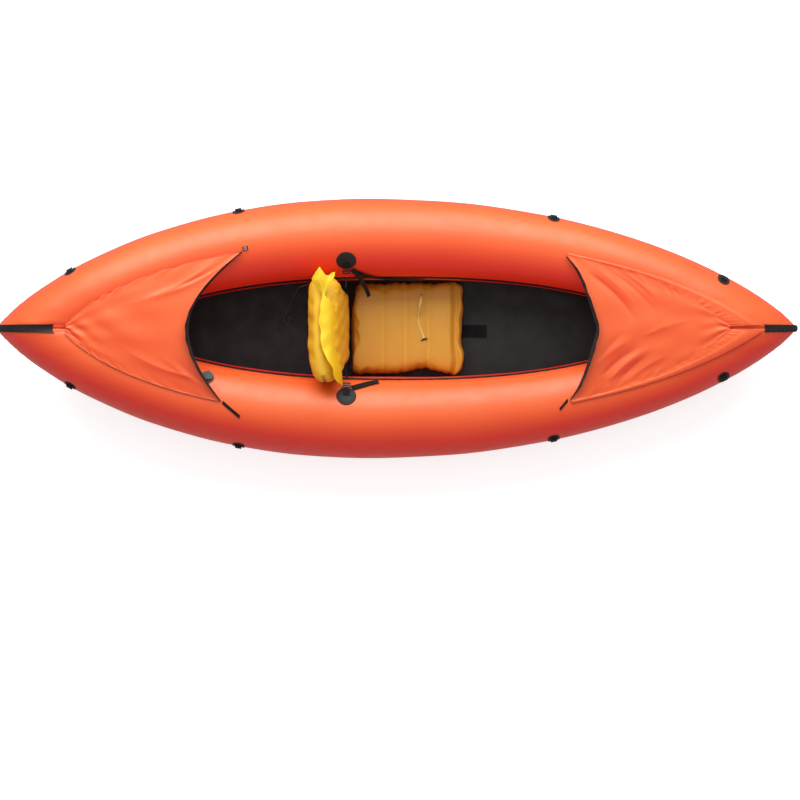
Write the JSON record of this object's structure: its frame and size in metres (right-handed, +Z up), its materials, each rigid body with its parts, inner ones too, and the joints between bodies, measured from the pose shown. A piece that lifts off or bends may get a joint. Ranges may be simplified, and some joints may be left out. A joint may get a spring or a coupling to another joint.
{
  "type": "inflatable kayak",
  "caption": "Single-seat inflatable kayak: two air tubes in a ring, bonded floor, fabric decks, inflatable seat with folding backrest, straps, tie-down points, valve.",
  "frame": {"origin": "on the ground below the middle of the boat", "axes": "+X to the bow, +Y to port, +Z up"},
  "size_m": [2.5006, 0.8278, 0.3602],
  "materials": {
    "hull_fabric": "satin",
    "hull_lower_fabric": "satin",
    "black_tape": "matte",
    "floor_fabric": "matte",
    "deck_fabric": "satin",
    "black_binding": "matte",
    "eyelet_metal": "satin",
    "patch_fabric": "matte",
    "webbing": "matte",
    "seat_fabric": "satin",
    "flap_fabric": "satin",
    "hook_strip": "matte",
    "tube_plastic": "satin",
    "black_plastic": "satin",
    "valve_plastic": "satin",
    "valve_rubber": "matte",
    "brown_cord": "matte"
  },
  "bodies": {
    "hull": {"port_upper_skin": "hull_fabric", "port_lower_skin": "hull_lower_fabric", "starboard_upper_skin": "hull_fabric", "starboard_lower_skin": "hull_lower_fabric", "port_side_tape": "black_tape", "starboard_side_tape": "black_tape", "port_inner_tape": "black_tape", "starboard_inner_tape": "black_tape", "bow_end_tape": "black_tape", "stern_end_tape": "black_tape", "floor_sheet": "floor_fabric", "stern_deck": "deck_fabric", "bow_deck": "deck_fabric", "stern_deck_binding": "black_binding", "bow_deck_binding": "black_binding", "stern_deck_tabs": "black_binding", "bow_deck_tab": "black_binding", "stern_deck_eyelet": "eyelet_metal", "tie_patch_1": "patch_fabric", "tie_patch_2": "patch_fabric", "tie_patch_3": "patch_fabric", "tie_patch_4": "patch_fabric", "tie_patch_5": "patch_fabric", "tie_patch_6": "patch_fabric", "tie_patch_7": "patch_fabric", "tie_patch_8": "patch_fabric", "tie_loop_1": "webbing", "tie_loop_2": "webbing", "tie_loop_3": "webbing", "tie_loop_4": "webbing", "tie_loop_5": "webbing", "tie_loop_6": "webbing", "tie_loop_7": "webbing", "tie_loop_8": "webbing", "seat_cushion": "seat_fabric", "seat_hook_strip": "hook_strip", "backrest_hinge_webbing": "webbing", "seat_tube_gland": "seat_fabric", "seat_inflation_tube": "tube_plastic", "seat_tube_mouthpiece": "tube_plastic", "port_strap_patch": "patch_fabric", "starboard_strap_patch": "patch_fabric", "port_patch_webbing": "webbing", "starboard_patch_webbing": "webbing", "port_back_strap": "webbing", "starboard_back_strap": "webbing", "port_forward_strap": "webbing", "port_strap_tail": "webbing", "starboard_strap_tail": "webbing", "main_valve_flange": "valve_plastic", "main_valve_body": "valve_plastic", "main_valve_flap": "valve_rubber", "loose_cord": "brown_cord", "loose_cord_fitting": "black_plastic"},
    "backrest": {"backrest_cushion": "seat_fabric", "backrest_top_flap": "flap_fabric"},
    "valve_cap": {"main_valve_cap": "valve_plastic"},
    "seat_plug": {"seat_plug": "black_plastic"},
    "port_buckle": {"port_buckle": "black_plastic"},
    "starboard_buckle": {"starboard_buckle": "black_plastic"}
  },
  "joints": [
    {"name": "backrest_fold", "type": "hinge", "parent": "hull", "child": "backrest", "pos_m": [-0.15, 0, 0.052], "axis": [0, 1, 0], "range_deg": [-5, 25], "deforming": ["port_back_strap", "starboard_back_strap", "backrest_hinge_webbing"]},
    {"name": "valve_cap_flip", "type": "hinge", "parent": "hull", "child": "valve_cap", "pos_m": [-0.59267, -0.13102, 0.25748], "axis": [-0.9682, 0.2252, 0.1089], "range_deg": [0, 100]},
    {"name": "seat_plug_pull", "type": "slide", "parent": "hull", "child": "seat_plug", "axis": [0.3162, -0.9487, 0.005], "range_m": [0, 0.012]},
    {"name": "port_buckle_tilt", "type": "hinge", "parent": "hull", "child": "port_buckle", "pos_m": [-0.16668, 0.18524, 0.23595], "axis": [-0.9989, -0.032, 0.0352], "range_deg": [-8, 30]},
    {"name": "starboard_buckle_tilt", "type": "hinge", "parent": "hull", "child": "starboard_buckle", "pos_m": [-0.16668, -0.18524, 0.23595], "axis": [0.9989, -0.032, -0.0352], "range_deg": [-8, 30]}
  ]
}
